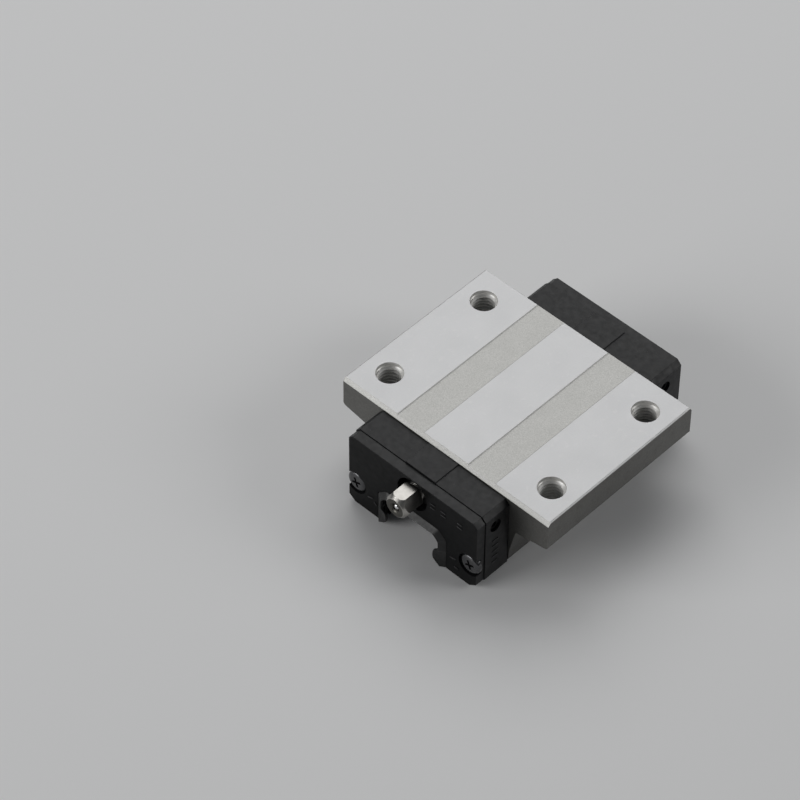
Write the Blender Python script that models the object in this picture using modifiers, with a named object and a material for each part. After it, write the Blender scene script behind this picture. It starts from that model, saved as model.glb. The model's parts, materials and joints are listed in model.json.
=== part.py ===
"""Linear guide carriage, size 15: low flanged block with four tapped holes.

Frame: metres, +Z up, origin at the centre of the top mounting face. The carriage travels along Y,
with the grease nipple at the front, -Y. X runs across the rail. "right" is +X and "left" is -X.
Sizes are written in millimetres times MM.
"""
import math

import bmesh
import bpy
from mathutils import Matrix, Vector

MM = 0.001
PART_NAME = "linear_guide_carriage"

# Driving dimensions of the steel block
BLOCK_WIDTH = 52.0 * MM
BLOCK_LENGTH = 39.8 * MM
HOLE_SPACING_X = 41.0 * MM
HOLE_SPACING_Y = 26.0 * MM
TAPPED_RADIUS = 2.15 * MM
LEAD_IN_RADIUS = 2.75 * MM
LEAD_IN_DEPTH = 1.0 * MM
CENTRE_STRIP = 5.55 * MM
GROOVE_EDGE = 12.42 * MM
GROOVE_DEPTH = 0.3 * MM
GROOVE_SLOPE = 0.34 * MM
CHANNEL_ROOF = -10.9 * MM
END_CHAMFER_Y = 0.55 * MM
END_CHAMFER_Z = 0.9 * MM

# Ball circuits: two on each side
BALL_RADIUS = 1.389 * MM
BALL_CLEARANCE = 0.16 * MM
TUNNEL_RADIUS = BALL_RADIUS + BALL_CLEARANCE
RACE_RADIUS = 1.45 * MM
TURN_RADIUS = 2.0 * MM
BALLS_PER_TURN = 2
BALLS_PER_STRAIGHT = 13
BALL_PITCH = math.pi * TURN_RADIUS / BALLS_PER_TURN
TURN_CENTRE_Y = BALLS_PER_STRAIGHT * BALL_PITCH / 2
LINK_RADIUS = 0.3 * MM
LOAD_X = 8.05 * MM
LOAD_Z = {"upper": -12.2 * MM, "lower": -15.75 * MM}
RETURN_ANGLE = {"upper": math.radians(50), "lower": 0.0}

# End caps and seals, measured outwards from the middle of the carriage
CAP_INNER_Y = 20.0 * MM
CAP_OUTER_Y = 26.2 * MM
SEAL_INNER_Y = 26.3 * MM
SEAL_OUTER_Y = 28.4 * MM
LIP_FRONT_Y = 29.2 * MM
PORT_Z = -5.5 * MM
PORT_RADIUS = 2.15 * MM
SEAL_PORT_RADIUS = 3.7 * MM
OIL_GROOVE_DEPTH = 0.8 * MM
SIDE_PORT = Vector((16.5, -23.6, -4.9)) * MM
SIDE_PORT_RADIUS = 1.4 * MM
SIDE_PORT_DEPTH = 0.6 * MM
SIDE_STRIP_END_Y = 19.7 * MM
LIP_THICKNESS = 0.7 * MM
SCREW_X = 14.5 * MM
SCREW_Z = -13.8 * MM
SCREW_HOLE_RADIUS = 1.4 * MM
SCREW_HOLE_DEPTH = 6.5 * MM
HEAD_POCKET_RADIUS = 2.6 * MM
HEAD_POCKET_FLOOR_Y = 27.1 * MM

# Turn guides: half spools on the inside of each turnaround
SPOOL_RADIUS = 1.7 * MM
SPOOL_HALF_WIDTH = 1.62 * MM
SPOOL_GAP = 0.1 * MM

# Cap screws, along Y, with their heads outwards
HEAD_FACE_Y = -28.35 * MM
HEAD_UNDER_Y = -27.2 * MM
SCREW_TIP_Y = -14.2 * MM
HEAD_RADIUS = 2.3 * MM
HEAD_DOME = 0.35 * MM
SCREW_SHANK_RADIUS = 1.25 * MM
CROSS_REACH = 1.25 * MM
CROSS_HALF_WIDTH = 0.28 * MM
CROSS_DEPTH = 0.85 * MM
CROSS_TURN = math.radians(20)

# Grease nipple, pointing to -Y
NIPPLE_TIP_Y = -33.0 * MM
NIPPLE_NOSE_RADIUS = 2.1 * MM
NIPPLE_HEX_OUTER_Y = -32.2 * MM
NIPPLE_HEX_INNER_Y = -28.2 * MM
NIPPLE_SHANK_END_Y = -21.5 * MM
NIPPLE_HEX_ACROSS_FLATS = 5.0 * MM
NIPPLE_SHANK_RADIUS = 1.95 * MM
NIPPLE_BALL_RADIUS = 0.75 * MM
NIPPLE_BALL_Y = -32.1 * MM
NIPPLE_CHAMBER_RADIUS = 0.95 * MM
NIPPLE_MOUTH_RADIUS = 0.7 * MM
NIPPLE_SPRING_END_Y = -24.2 * MM
NIPPLE_BORE_RADIUS = 0.5 * MM
SPRING_GAP = 0.15 * MM
SPRING_WIRE_RADIUS = 0.1 * MM
SPRING_COIL_RADIUS = 0.6 * MM

# Set screw in the rear cap's port
PLUG_OUTER_Y = 26.0 * MM
PLUG_INNER_Y = 22.0 * MM
PLUG_END_CHAMFER = 0.3 * MM
PLUG_SOCKET_RADIUS = 1.15 * MM
PLUG_SOCKET_DEPTH = 1.8 * MM

CUT_MARGIN = 1.0 * MM
MERGE = 1e-7

for old in list(bpy.data.objects):
    bpy.data.objects.remove(old)

parts = bpy.data.collections.new(PART_NAME)
cutters = bpy.data.collections.new("cutters")
bpy.context.scene.collection.children.link(parts)
bpy.context.scene.collection.children.link(cutters)

ALONG_Y = Matrix.Rotation(math.pi / 2, 4, "X")


def material(name, colour, roughness, metallic):
    """A Principled material with one colour."""
    made = bpy.data.materials.new(name)
    made.use_nodes = True
    shader = made.node_tree.nodes["Principled BSDF"]
    shader.inputs["Base Color"].default_value = (*colour, 1.0)
    shader.inputs["Roughness"].default_value = roughness
    shader.inputs["Metallic"].default_value = metallic
    return made


STEEL = material("ground_steel", (0.56, 0.56, 0.56), 0.42, 1.0)
BALL_STEEL = material("ball_steel", (0.66, 0.66, 0.67), 0.12, 1.0)
SCREW_STEEL = material("black_oxide_screw", (0.05, 0.05, 0.05), 0.3, 1.0)
NICKEL = material("nickel_plate", (0.72, 0.69, 0.64), 0.2, 1.0)
SPRING_STEEL = material("spring_steel", (0.5, 0.5, 0.5), 0.3, 1.0)
CAP_PLASTIC = material("black_plastic", (0.016, 0.016, 0.017), 0.5, 0.0)
GUIDE_PLASTIC = material("dark_grey_plastic", (0.04, 0.04, 0.042), 0.45, 0.0)
SEAL_RUBBER = material("seal_rubber", (0.02, 0.02, 0.02), 0.65, 0.0)


# Building helpers ------------------------------------------------------------------------------

def add_object(name, mesh, coat, matrix=None):
    """Link a finished mesh as one named sub-part."""
    mesh.materials.clear()
    mesh.materials.append(coat)
    made = bpy.data.objects.new(name, mesh)
    made.matrix_world = matrix or Matrix.Identity(4)
    parts.objects.link(made)
    return made


def add_cutter(name, mesh, matrix=None):
    """Link a mesh that only cuts others."""
    made = bpy.data.objects.new(name, mesh)
    made.matrix_world = matrix or Matrix.Identity(4)
    made.hide_render = True
    made.display_type = "WIRE"
    cutters.objects.link(made)
    return made


def tidy_mesh(mesh):
    """Weld doubled points, turn the faces outwards and shade round faces smooth."""
    work = bmesh.new()
    work.from_mesh(mesh)
    bmesh.ops.remove_doubles(work, verts=work.verts, dist=MERGE)
    bmesh.ops.dissolve_degenerate(work, edges=work.edges, dist=MERGE)
    bmesh.ops.recalc_face_normals(work, faces=work.faces)
    work.to_mesh(mesh)
    work.free()
    mesh.shade_smooth()
    mesh.set_sharp_from_angle(angle=math.radians(35))
    return mesh


def evaluated_mesh(source):
    """Read an object with its modifiers and remove it."""
    bpy.context.view_layer.update()
    graph = bpy.context.evaluated_depsgraph_get()
    mesh = bpy.data.meshes.new_from_object(source.evaluated_get(graph), depsgraph=graph)
    mesh.transform(source.matrix_world)
    bpy.data.objects.remove(source)
    return tidy_mesh(mesh)


def outline_mesh(loops, y_low, y_high):
    """Extrude closed (x, z) loops along Y; loops inside the first one are holes."""
    curve = bpy.data.curves.new("outline", "CURVE")
    curve.dimensions = "2D"
    curve.fill_mode = "BOTH"
    curve.extrude = (y_high - y_low) / 2
    curve.render_resolution_u = 0
    for loop in loops:
        spline = curve.splines.new("POLY")
        spline.points.add(len(loop) - 1)
        for point, (x, z) in zip(spline.points, loop):
            point.co = (x, z, 0.0, 1.0)
        spline.use_cyclic_u = True
    holder = bpy.data.objects.new("outline", curve)
    holder.matrix_world = Matrix.Translation((0, (y_low + y_high) / 2, 0)) @ ALONG_Y
    cutters.objects.link(holder)
    return evaluated_mesh(holder)


def turned_mesh(profile, segments):
    """Turn an (axial, radius) profile about local Z. The profile starts and ends on the axis."""
    mesh = bpy.data.meshes.new("profile")
    points = [(radius, 0.0, axial) for axial, radius in profile]
    edges = [(i, i + 1) for i in range(len(points) - 1)]
    mesh.from_pydata(points, edges, [])
    holder = bpy.data.objects.new("profile", mesh)
    cutters.objects.link(holder)
    screw = holder.modifiers.new("turn", "SCREW")
    screw.steps = segments
    screw.render_steps = segments
    screw.use_merge_vertices = True
    screw.merge_threshold = MERGE
    return evaluated_mesh(holder)


def cylinder_mesh(radius, length, segments):
    """A closed cylinder about local Z, centred on the origin."""
    mesh = bpy.data.meshes.new("cylinder")
    work = bmesh.new()
    bmesh.ops.create_cone(work, cap_ends=True, segments=segments, radius1=radius,
                          radius2=radius, depth=length)
    work.to_mesh(mesh)
    work.free()
    return mesh


def box_mesh(low, high):
    """A closed box between two corners."""
    mesh = bpy.data.meshes.new("box")
    work = bmesh.new()
    size = Vector(high) - Vector(low)
    middle = (Vector(high) + Vector(low)) / 2
    place = Matrix.Translation(middle) @ Matrix.Diagonal((*size, 1.0))
    bmesh.ops.create_cube(work, size=1.0, matrix=place)
    work.to_mesh(mesh)
    work.free()
    return mesh


def combine(mesh, operation, tools):
    """Cut or join a mesh with each tool in turn, with exact Booleans."""
    holder = bpy.data.objects.new("combined", mesh)
    cutters.objects.link(holder)
    for tool in tools:
        step = holder.modifiers.new("step", "BOOLEAN")
        step.operation = operation
        step.solver = "EXACT"
        step.object = tool
    return evaluated_mesh(holder)


def cylinder_cutter(centre, axis, radius, length, segments=12):
    """A round cutter about any axis."""
    turn = Vector(axis).to_track_quat("Z", "Y").to_matrix().to_4x4()
    return add_cutter("round_cutter", cylinder_mesh(radius, length, segments),
                      Matrix.Translation(centre) @ turn)


def arc(centre, radius, start_deg, end_deg, steps):
    """Points on an arc in the XZ plane, both ends included."""
    angles = [math.radians(start_deg + (end_deg - start_deg) * i / steps) for i in range(steps + 1)]
    return [(centre[0] + radius * math.cos(a), centre[1] + radius * math.sin(a)) for a in angles]


def circle(centre, radius, segments):
    """A closed loop of points in the XZ plane."""
    return arc(centre, radius, 0, 360, segments)[:-1]


def mirrored(half):
    """Close a right-hand outline, given from the top centre to the bottom centre, over X = 0."""
    return half + [(-x, z) for x, z in reversed(half) if x > MERGE]


def millimetres(points):
    """Scale a list of (x, z) points from millimetres to metres."""
    return [(x * MM, z * MM) for x, z in points]


# Where the ball circuits run -------------------------------------------------------------------

SIDES = {"left": -1, "right": 1}
ENDS = {"front": -1, "rear": 1}
ROWS = ("upper", "lower")


def load_point(side, row):
    """Centre of a loaded ball row as (x, z)."""
    return Vector((SIDES[side] * LOAD_X, LOAD_Z[row]))


def return_direction(side, row):
    """Unit vector in X and Z from the loaded row to its return bore."""
    angle = RETURN_ANGLE[row]
    return Vector((SIDES[side] * math.cos(angle), math.sin(angle)))


def return_point(side, row):
    """Centre of a return bore as (x, z)."""
    return load_point(side, row) + 2 * TURN_RADIUS * return_direction(side, row)


def turn_matrix(side, row, end):
    """Frame of one turnaround: local X from load to return, local Y outwards, Z its axis."""
    middle = load_point(side, row) + TURN_RADIUS * return_direction(side, row)
    across = return_direction(side, row)
    x_axis = Vector((across.x, 0, across.y))
    y_axis = Vector((0, ENDS[end], 0))
    z_axis = x_axis.cross(y_axis)
    frame = Matrix((x_axis, y_axis, z_axis)).transposed().to_4x4()
    return Matrix.Translation((middle.x, ENDS[end] * TURN_CENTRE_Y, middle.y)) @ frame


# Steel block -----------------------------------------------------------------------------------

def block_outline():
    """Right half of the block's section, from the top centre round to the channel roof."""
    half_width = BLOCK_WIDTH / 2
    edge_break = 0.3 * MM
    upper = (LOAD_X, LOAD_Z["upper"])
    lower = (LOAD_X, LOAD_Z["lower"])
    top = [(0.0, 0.0), (CENTRE_STRIP, 0.0), (CENTRE_STRIP + GROOVE_SLOPE, -GROOVE_DEPTH),
           (GROOVE_EDGE - GROOVE_SLOPE, -GROOVE_DEPTH), (GROOVE_EDGE, 0.0),
           (half_width - edge_break, 0.0), (half_width, -edge_break)]
    flank = millimetres([(26.0, -6.8), (25.5, -7.3), (18.2, -8.7), (16.8, -15.1), (16.65, -17.55),
                         (16.35, -17.85), (7.9, -17.85)])
    lower_race = arc(lower, RACE_RADIUS, -100, 38, 6)
    upper_race = arc(upper, RACE_RADIUS, -38, 105, 6)
    roof = [(upper_race[-1][0] - 0.6 * MM, CHANNEL_ROOF), (0.0, CHANNEL_ROOF)]
    return top + flank + lower_race + upper_race + roof


def build_block():
    """The hardened steel body: flanges, legs, races, return bores and tapped holes."""
    bores = [circle(return_point(side, row), TUNNEL_RADIUS, 12) for side in SIDES for row in ROWS]
    half_length = BLOCK_LENGTH / 2
    body = outline_mesh([mirrored(block_outline())] + bores, -half_length, half_length)
    tools = []
    for sign_x in (-1, 1):
        for sign_y in (-1, 1):
            x = sign_x * HOLE_SPACING_X / 2
            y = sign_y * HOLE_SPACING_Y / 2
            tools.append(cylinder_cutter((x, y, -5 * MM), (0, 0, 1), TAPPED_RADIUS, 14 * MM, 16))
            tools.append(cylinder_cutter((x, y, 0), (0, 0, 1), LEAD_IN_RADIUS,
                                         2 * LEAD_IN_DEPTH, 16))
            tools.append(cylinder_cutter((sign_x * SCREW_X, sign_y * half_length, SCREW_Z),
                                         (0, 1, 0), SCREW_HOLE_RADIUS,
                                         2 * SCREW_HOLE_DEPTH, 10))
    slope = END_CHAMFER_Z / END_CHAMFER_Y
    wedge = [(-END_CHAMFER_Y - CUT_MARGIN / slope, CUT_MARGIN), (CUT_MARGIN, CUT_MARGIN),
             (CUT_MARGIN, -END_CHAMFER_Z - CUT_MARGIN * slope)]
    for sign_y in ENDS.values():
        spin = Matrix.Rotation(sign_y * math.pi / 2, 4, "Z")
        tools.append(add_cutter("end_chamfer", outline_mesh([wedge], -BLOCK_WIDTH, BLOCK_WIDTH),
                                Matrix.Translation((0, sign_y * half_length, 0)) @ spin))
    add_object("carriage_block", combine(body, "DIFFERENCE", tools), STEEL)


# Plastic end caps and turn guides --------------------------------------------------------------

def tunnel_cutter(side, row, end):
    """U-shaped ball passage: in from the block face, round the turn and back."""
    turn_steps = 6
    inner = -(TURN_CENTRE_Y - CAP_INNER_Y) - CUT_MARGIN
    path = [(-TURN_RADIUS, inner)]
    path += arc((0, 0), TURN_RADIUS, 180, 0, turn_steps)
    path += [(TURN_RADIUS, inner)]
    curve = bpy.data.curves.new("tunnel", "CURVE")
    curve.dimensions = "3D"
    curve.bevel_depth = TUNNEL_RADIUS
    curve.bevel_resolution = 2
    curve.use_fill_caps = True
    curve.render_resolution_u = 0
    spline = curve.splines.new("POLY")
    spline.points.add(len(path) - 1)
    for point, (x, y) in zip(spline.points, path):
        point.co = (x, y, 0.0, 1.0)
    holder = bpy.data.objects.new("tunnel", curve)
    holder.matrix_world = turn_matrix(side, row, end)
    cutters.objects.link(holder)
    return add_cutter("tunnel", evaluated_mesh(holder))


def cap_outline():
    """Right half of the end cap's section, with the rail opening."""
    return millimetres([(0, -0.95), (3.75, -0.95), (3.85, -1.2), (15.5, -1.2), (16.5, -2.2),
                        (16.5, -18.3), (15.0, -19.5), (7.8, -19.5), (7.8, -11.9), (6.6, -10.7),
                        (0, -10.7)])


def end_cap_mesh():
    """The front end cap: rail opening, lubrication port, screw holes and ball passages."""
    body = outline_mesh([mirrored(cap_outline())], -CAP_OUTER_Y, -CAP_INNER_Y)
    middle_y = -(CAP_INNER_Y + CAP_OUTER_Y) / 2
    through = CAP_OUTER_Y - CAP_INNER_Y + 2 * CUT_MARGIN
    tools = [cylinder_cutter((0, middle_y, PORT_Z), (0, 1, 0), PORT_RADIUS, through, 16)]
    groove = millimetres([(-10.6, -8.2), (-10.6, -4.9), (10.6, -4.9), (10.6, -8.2), (9.4, -8.2),
                          (9.4, -6.1), (-9.4, -6.1), (-9.4, -8.2)])
    tools.append(add_cutter("oil_groove", outline_mesh([groove], -CAP_INNER_Y - OIL_GROOVE_DEPTH,
                                                       -CAP_INNER_Y + CUT_MARGIN)))
    for side, sign in SIDES.items():
        tools.append(cylinder_cutter((sign * SCREW_X, middle_y, SCREW_Z), (0, 1, 0),
                                     SCREW_HOLE_RADIUS, through, 12))
        tools.append(cylinder_cutter((sign * SIDE_PORT.x, SIDE_PORT.y, SIDE_PORT.z), (1, 0, 0),
                                     SIDE_PORT_RADIUS, 2 * SIDE_PORT_DEPTH, 12))
        for row in ROWS:
            pocket = add_cutter("spool_pocket",
                                cylinder_mesh(SPOOL_RADIUS + SPOOL_GAP,
                                              2 * (SPOOL_HALF_WIDTH + SPOOL_GAP), 16),
                                turn_matrix(side, row, "front"))
            tools += [pocket, tunnel_cutter(side, row, "front")]
    return combine(body, "DIFFERENCE", tools)


def turn_guide_mesh():
    """Half spool whose waist guides the balls round the inside of a turn, about local Z."""
    groove_half = 1.5 * MM
    steps = 6
    waist = []
    for i in range(steps + 1):
        offset = -groove_half + 2 * groove_half * i / steps
        waist.append((offset, TURN_RADIUS - math.sqrt(TUNNEL_RADIUS ** 2 - offset ** 2)))
    profile = [(-SPOOL_HALF_WIDTH, 0.0), (-SPOOL_HALF_WIDTH, SPOOL_RADIUS)] + waist
    profile += [(SPOOL_HALF_WIDTH, SPOOL_RADIUS), (SPOOL_HALF_WIDTH, 0.0)]
    spool = turned_mesh(profile[::-1], 12)
    flat_y = -(TURN_CENTRE_Y - CAP_INNER_Y - SPOOL_GAP)
    reach = 2 * SPOOL_RADIUS
    away = add_cutter("spool_half", box_mesh((-reach, -reach, -reach), (reach, flat_y, reach)))
    return combine(spool, "DIFFERENCE", [away])


def build_caps_and_guides():
    """Two equal end caps, the rear one turned about Z, and eight turn guides."""
    cap = end_cap_mesh()
    guide = turn_guide_mesh()
    for end, sign in ENDS.items():
        half_turn = Matrix.Rotation(math.pi if sign > 0 else 0.0, 4, "Z")
        add_object(end + "_end_cap", cap, CAP_PLASTIC, half_turn)
        for side in SIDES:
            for row in ROWS:
                add_object(f"{end}_{side}_{row}_turn_guide", guide, GUIDE_PLASTIC,
                           turn_matrix(side, row, end))


# End seals and bottom seals --------------------------------------------------------------------

def seal_plate_mesh():
    """The front seal plate: rail opening, nipple clearance and screw pockets."""
    half = millimetres([(0, -1.4), (15.25, -1.4), (16.3, -2.4), (16.3, -18.2), (14.7, -19.4),
                        (8.75, -19.4), (8.75, -12.0), (6.75, -10.2), (0, -10.2)])
    port = circle((0.0, PORT_Z), SEAL_PORT_RADIUS, 20)
    body = outline_mesh([mirrored(half), port], -SEAL_OUTER_Y, -SEAL_INNER_Y)
    tools = []
    for sign in SIDES.values():
        tools.append(cylinder_cutter((sign * SCREW_X, -SEAL_INNER_Y, SCREW_Z), (0, 1, 0),
                                     SCREW_HOLE_RADIUS, 3 * MM, 12))
        tools.append(cylinder_cutter((sign * SCREW_X, -HEAD_POCKET_FLOOR_Y - 2 * MM, SCREW_Z),
                                     (0, 1, 0), HEAD_POCKET_RADIUS, 4 * MM, 20))
    return combine(body, "DIFFERENCE", tools)


def seal_lip_mesh():
    """The front rubber lip: it closes from the plate's opening down to the rail's profile."""
    outer = millimetres([(0, -10.3), (6.7, -10.3), (8.65, -12.05), (8.65, -14.6), (8.65, -15.4),
                         (8.65, -17.1), (8.65, -17.7), (8.65, -19.3)])
    inner = millimetres([(0, -11.35), (6.1, -11.35), (7.3, -12.55), (7.3, -14.8), (6.1, -15.5),
                         (5.9, -17.1), (6.1, -17.9), (7.8, -19.0)])
    root_y = -(SEAL_INNER_Y + 0.3 * MM)
    rings = ((outer, root_y), (outer, -SEAL_OUTER_Y), (inner, -LIP_FRONT_Y),
             (inner, -LIP_FRONT_Y + LIP_THICKNESS))
    work = bmesh.new()
    grid = []
    for half, y in rings:
        whole = half[::-1] + [(-x, z) for x, z in half[1:]]
        grid.append([work.verts.new((x, y, z)) for x, z in whole])
    for ring, following in zip(grid, grid[1:] + grid[:1]):
        for i in range(len(ring) - 1):
            work.faces.new((ring[i], ring[i + 1], following[i + 1], following[i]))
    work.faces.new([ring[0] for ring in grid])
    work.faces.new([ring[-1] for ring in grid])
    mesh = bpy.data.meshes.new("seal_lip")
    work.to_mesh(mesh)
    work.free()
    return tidy_mesh(mesh)


def build_seals():
    """End seal plates with their lips, and the strips under the legs."""
    plate = seal_plate_mesh()
    lip = seal_lip_mesh()
    for end, sign in ENDS.items():
        half_turn = Matrix.Rotation(math.pi if sign > 0 else 0.0, 4, "Z")
        add_object(end + "_end_seal", plate, SEAL_RUBBER, half_turn)
        add_object(end + "_seal_lip", lip, SEAL_RUBBER, half_turn)
    strip = millimetres([(7.7, -18.95), (8.3, -18.15), (15.6, -18.15), (15.6, -18.75),
                         (8.7, -18.75)])
    bar = millimetres([(7.75, -13.75), (8.95, -13.75), (8.95, -14.2), (7.75, -14.2)])
    for side, sign in SIDES.items():
        seal = outline_mesh([[(sign * x, z) for x, z in strip]],
                            -SIDE_STRIP_END_Y, SIDE_STRIP_END_Y)
        add_object(side + "_bottom_seal", seal, SEAL_RUBBER)
        retainer = outline_mesh([[(sign * x, z) for x, z in bar]],
                                -SIDE_STRIP_END_Y, SIDE_STRIP_END_Y)
        add_object(side + "_ball_retainer", retainer, GUIDE_PLASTIC)


# Balls -----------------------------------------------------------------------------------------

def ball_string_mesh(count, spacing):
    """Equal balls in a row along local Z, centred, joined by thin links into one body."""
    neck = math.sqrt(BALL_RADIUS ** 2 - LINK_RADIUS ** 2)
    shoulder = 0.45 * BALL_RADIUS
    shoulder_radius = math.sqrt(BALL_RADIUS ** 2 - shoulder ** 2)
    first = -(count - 1) / 2 * spacing
    profile = [(first - BALL_RADIUS, 0.0)]
    for i in range(count):
        middle = first + i * spacing
        if i > 0:
            profile.append((middle - neck, LINK_RADIUS))
        profile.append((middle - shoulder, shoulder_radius))
        profile.append((middle + shoulder, shoulder_radius))
        if i < count - 1:
            profile.append((middle + neck, LINK_RADIUS))
    profile.append((first + (count - 1) * spacing + BALL_RADIUS, 0.0))
    return turned_mesh(profile[::-1], 6)


def build_balls():
    """Four circuits, each with a loaded row, a return row and a group in each turn."""
    row_mesh = ball_string_mesh(BALLS_PER_STRAIGHT, BALL_PITCH)
    half_step = math.pi / BALLS_PER_TURN / 2
    chord = 2 * TURN_RADIUS * math.sin(half_step)
    turn_mesh = ball_string_mesh(BALLS_PER_TURN, chord)
    lay_along_x = Matrix.Translation((0, TURN_RADIUS * math.cos(half_step), 0))
    lay_along_x = lay_along_x @ Matrix.Rotation(math.pi / 2, 4, "Y")
    for side in SIDES:
        for row in ROWS:
            for name, place in (("load", load_point(side, row)), ("return", return_point(side, row))):
                add_object(f"{side}_{row}_{name}_balls", row_mesh, BALL_STEEL,
                           Matrix.Translation((place.x, 0, place.y)) @ ALONG_Y)
            for end in ENDS:
                turn = turn_matrix(side, row, end)
                axis = bpy.data.objects.new(f"{side}_{row}_{end}_turn_axis", None)
                axis.matrix_world = turn
                parts.objects.link(axis)
                group = add_object(f"{side}_{row}_{end}_turn_balls", turn_mesh, BALL_STEEL)
                group.parent = axis
                group.matrix_basis = lay_along_x


# Screws, nipple and port plug ------------------------------------------------------------------

def cross_outline(reach, half_width, turn):
    """Outline of a plus sign in the XZ plane, turned about its centre."""
    corners = []
    for quarter in range(4):
        angle = turn + quarter * math.pi / 2
        for x, z in ((half_width, reach), (-half_width, reach), (-half_width, half_width)):
            corners.append((x * math.cos(angle) - z * math.sin(angle),
                            x * math.sin(angle) + z * math.cos(angle)))
    return corners


def build_screws():
    """Four pan-head screws that hold the seals and caps to the block."""
    profile = [(HEAD_FACE_Y, 0.0), (HEAD_FACE_Y, HEAD_RADIUS - HEAD_DOME),
               (HEAD_FACE_Y + HEAD_DOME, HEAD_RADIUS), (HEAD_UNDER_Y, HEAD_RADIUS),
               (HEAD_UNDER_Y, SCREW_SHANK_RADIUS), (SCREW_TIP_Y - 0.5 * MM, SCREW_SHANK_RADIUS),
               (SCREW_TIP_Y, SCREW_SHANK_RADIUS - 0.4 * MM), (SCREW_TIP_Y, 0.0)]
    screw = turned_mesh([(-axial, radius) for axial, radius in profile], 12)
    screw.transform(ALONG_Y)
    cross = cross_outline(CROSS_REACH, CROSS_HALF_WIDTH, CROSS_TURN)
    recess = outline_mesh([cross], HEAD_FACE_Y - CUT_MARGIN, HEAD_FACE_Y + CROSS_DEPTH)
    screw = combine(screw, "DIFFERENCE", [add_cutter("cross_recess", recess)])
    for end, end_sign in ENDS.items():
        half_turn = Matrix.Rotation(math.pi if end_sign > 0 else 0.0, 4, "Z")
        for side, sign in SIDES.items():
            place = Matrix.Translation((sign * SCREW_X, 0, SCREW_Z))
            add_object(f"{end}_{side}_cap_screw", screw, SCREW_STEEL, place @ half_turn)


def build_nipple():
    """Grease nipple with its check ball and spring, in the front cap's port."""
    place = Matrix.Translation((0, 0, PORT_Z))
    corner = NIPPLE_HEX_ACROSS_FLATS / math.sqrt(3)
    hexagon = [(corner * math.cos(i * math.pi / 3), corner * math.sin(i * math.pi / 3))
               for i in range(6)]
    body = outline_mesh([hexagon], NIPPLE_HEX_OUTER_Y, NIPPLE_HEX_INNER_Y)
    turned = [(NIPPLE_TIP_Y, 0.0), (NIPPLE_TIP_Y, NIPPLE_NOSE_RADIUS),
              (NIPPLE_HEX_OUTER_Y - 0.1 * MM, 2.45 * MM), (NIPPLE_HEX_OUTER_Y + 0.5 * MM, 2.3 * MM),
              (NIPPLE_HEX_INNER_Y, NIPPLE_SHANK_RADIUS), (NIPPLE_SHANK_END_Y, NIPPLE_SHANK_RADIUS),
              (NIPPLE_SHANK_END_Y, 0.0)]
    core = turned_mesh([(-axial, radius) for axial, radius in turned], 16)
    core.transform(ALONG_Y)
    body = combine(body, "UNION", [add_cutter("nipple_core", core)])
    seat_y = NIPPLE_BALL_Y - 0.35 * MM
    passage = [(NIPPLE_TIP_Y - CUT_MARGIN, 0.0), (NIPPLE_TIP_Y - CUT_MARGIN, 1.3 * MM),
               (NIPPLE_TIP_Y, 1.1 * MM), (seat_y, NIPPLE_MOUTH_RADIUS),
               (NIPPLE_BALL_Y + 0.1 * MM, NIPPLE_CHAMBER_RADIUS),
               (NIPPLE_SPRING_END_Y, NIPPLE_CHAMBER_RADIUS), (NIPPLE_SPRING_END_Y, NIPPLE_BORE_RADIUS),
               (NIPPLE_SHANK_END_Y + CUT_MARGIN, NIPPLE_BORE_RADIUS),
               (NIPPLE_SHANK_END_Y + CUT_MARGIN, 0.0)]
    bore = turned_mesh([(-axial, radius) for axial, radius in passage], 12)
    bore.transform(ALONG_Y)
    body = combine(body, "DIFFERENCE", [add_cutter("nipple_bore", bore)])
    add_object("grease_nipple", body, NICKEL, place)

    ball = bpy.data.meshes.new("nipple_ball")
    work = bmesh.new()
    bmesh.ops.create_uvsphere(work, u_segments=10, v_segments=6, radius=NIPPLE_BALL_RADIUS)
    work.to_mesh(ball)
    work.free()
    add_object("nipple_ball", ball, BALL_STEEL,
               Matrix.Translation((0, NIPPLE_BALL_Y, PORT_Z)) @ ALONG_Y)
    build_nipple_spring(place)


def build_nipple_spring(place):
    """Compression spring that holds the check ball against its seat."""
    turns = 6
    steps = 8
    start = NIPPLE_BALL_Y + NIPPLE_BALL_RADIUS + SPRING_GAP
    end = NIPPLE_SPRING_END_Y - SPRING_GAP
    curve = bpy.data.curves.new("nipple_spring", "CURVE")
    curve.dimensions = "3D"
    curve.bevel_depth = SPRING_WIRE_RADIUS
    curve.bevel_resolution = 0
    curve.use_fill_caps = True
    curve.render_resolution_u = 0
    spline = curve.splines.new("POLY")
    spline.points.add(turns * steps)
    for i, point in enumerate(spline.points):
        angle = 2 * math.pi * i / steps
        y = start + (end - start) * i / (turns * steps)
        point.co = (SPRING_COIL_RADIUS * math.cos(angle), y,
                    SPRING_COIL_RADIUS * math.sin(angle), 1.0)
    holder = bpy.data.objects.new("nipple_spring", curve)
    cutters.objects.link(holder)
    add_object("nipple_spring", evaluated_mesh(holder), SPRING_STEEL, place)


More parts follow.
